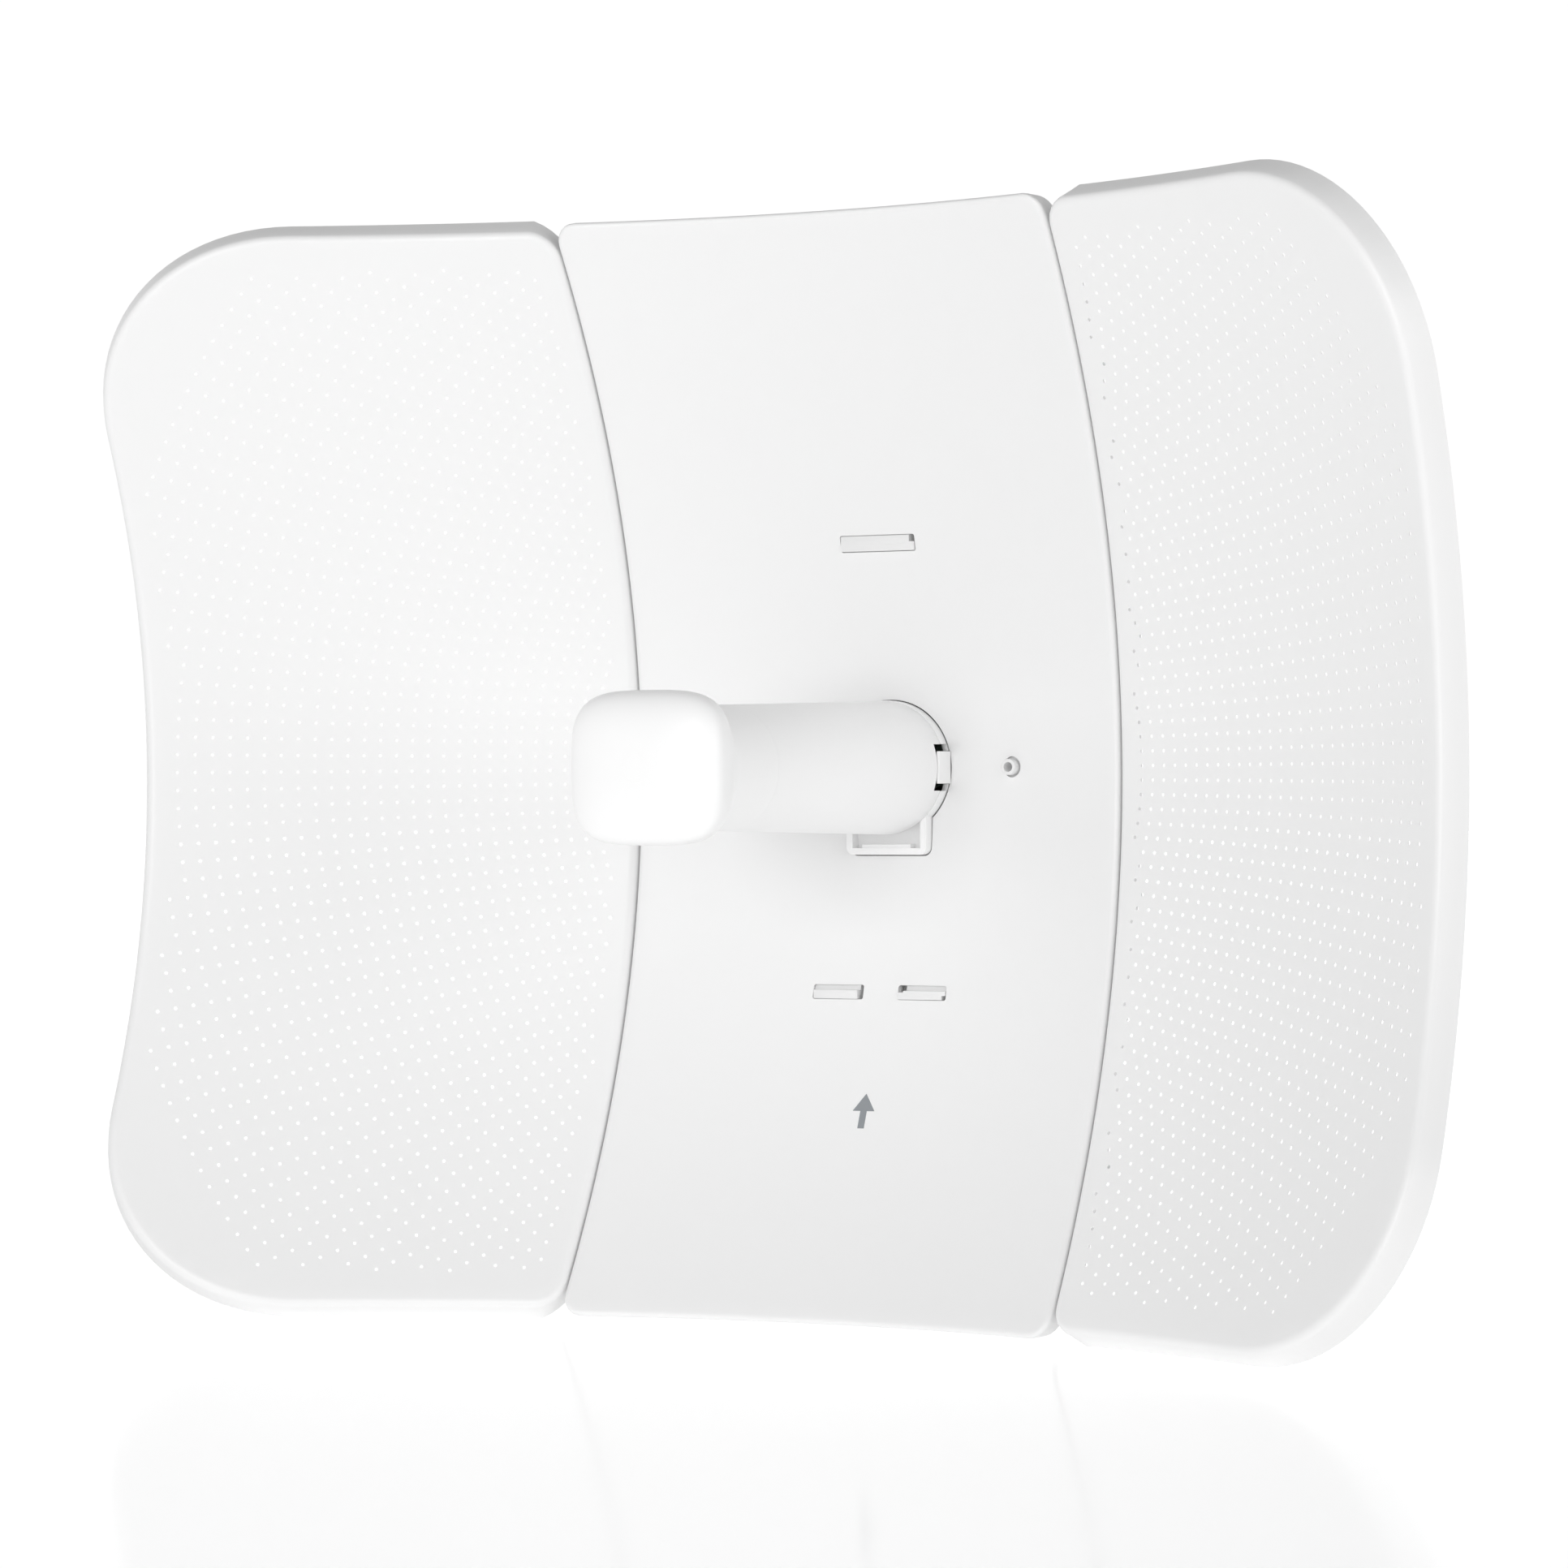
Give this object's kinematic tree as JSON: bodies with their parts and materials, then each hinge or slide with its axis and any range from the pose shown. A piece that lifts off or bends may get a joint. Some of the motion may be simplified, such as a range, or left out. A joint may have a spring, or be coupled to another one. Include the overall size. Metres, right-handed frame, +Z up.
{
  "type": "outdoor wireless bridge",
  "caption": "Outdoor radio bridge: three-panel rectangular dish with perforated wings, plug-in feed horn tube, tilting bracket and pole clamp.",
  "frame": {"origin": "axis of the pole that the clamp grips, at the clamp's mid height, level with the dish axis", "axes": "-Y is the way the dish looks, +X is to the right seen from the front along +Y, +Z is up along the pole"},
  "size_m": [0.5222, 0.2963, 0.3908],
  "materials": {
    "white_coated_sheet": "satin",
    "white_plastic": "satin",
    "grey_coated_steel": "satin",
    "zinc_steel": "satin",
    "vial_glass": "gloss",
    "bare_aluminium": "satin",
    "contact_brass": "satin",
    "natural_plastic": "satin",
    "board_laminate": "satin",
    "clear_plastic": "gloss",
    "black_rubber": "matte",
    "grey_plastic": "satin"
  },
  "bodies": {
    "mount": {"pole_bracket": "grey_coated_steel", "pivot_bolt": "zinc_steel", "pivot_nut": "zinc_steel", "clamp_bolts": "zinc_steel"},
    "dish": {"center_panel": "white_coated_sheet", "left_panel": "white_coated_sheet", "right_panel": "white_coated_sheet", "left_seam_strip": "white_coated_sheet", "right_seam_strip": "white_coated_sheet", "seam_screws": "zinc_steel", "dish_bracket": "white_plastic", "tilt_clevis": "grey_coated_steel", "clevis_screws": "zinc_steel", "level_housing": "white_plastic", "level_vial": "vial_glass", "lock_bolt": "zinc_steel", "lock_nut": "zinc_steel"},
    "feed": {"feed_tube": "white_plastic", "head_cover": "white_plastic", "subreflector": "bare_aluminium", "driven_element": "contact_brass", "element_spacer": "natural_plastic", "main_board": "board_laminate", "rf_shield": "bare_aluminium", "heat_spreader": "bare_aluminium", "ethernet_jack": "zinc_steel", "light_pipes": "clear_plastic", "feed_base": "white_plastic", "base_gasket": "black_rubber", "base_screws": "zinc_steel"},
    "feed_latch": {"feed_latch": "white_plastic"},
    "port_cover": {"port_cover": "white_plastic"},
    "reset_button": {"reset_button": "grey_plastic"},
    "jaw": {"clamp_jaw": "grey_coated_steel", "clamp_washers": "zinc_steel"},
    "nut_left": {"clamp_nut_left": "zinc_steel"},
    "nut_right": {"clamp_nut_right": "zinc_steel"}
  },
  "joints": [
    {"name": "tilt", "type": "hinge", "parent": "mount", "child": "dish", "pos_m": [0, -0.034, 0], "axis": [1, 0, 0], "range_deg": [-20, 20]},
    {"name": "feed_slide", "type": "slide", "parent": "dish", "child": "feed", "axis": [0, -1, 0], "range_m": [0, 0.03]},
    {"name": "latch_press", "type": "slide", "parent": "feed", "child": "feed_latch", "axis": [-1, 0, 0], "range_m": [0, 0.0016], "stiffness_N_per_m": 800},
    {"name": "port_cover_hinge", "type": "hinge", "parent": "feed", "child": "port_cover", "pos_m": [0, -0.0666, -0.0298], "axis": [1, 0, 0], "range_deg": [0, 90]},
    {"name": "reset_press", "type": "slide", "parent": "feed", "child": "reset_button", "axis": [0, -1, 0], "range_m": [0, 0.0005], "stiffness_N_per_m": 2000},
    {"name": "jaw_slide", "type": "slide", "parent": "mount", "child": "jaw", "axis": [0, 1, 0], "range_m": [0, 0.016]},
    {"name": "nut_left_turn", "type": "hinge", "parent": "jaw", "child": "nut_left", "pos_m": [-0.034, 0, 0], "axis": [0, 1, 0], "range_deg": [0, 4608]},
    {"name": "nut_right_turn", "type": "hinge", "parent": "jaw", "child": "nut_right", "pos_m": [0.034, 0, 0], "axis": [0, 1, 0], "range_deg": [0, 4608]}
  ],
  "couplings": [
    {"joint": "nut_left_turn", "follows": "jaw_slide", "rad_per_m": 5026.5},
    {"joint": "nut_right_turn", "follows": "jaw_slide", "rad_per_m": 5026.5}
  ]
}
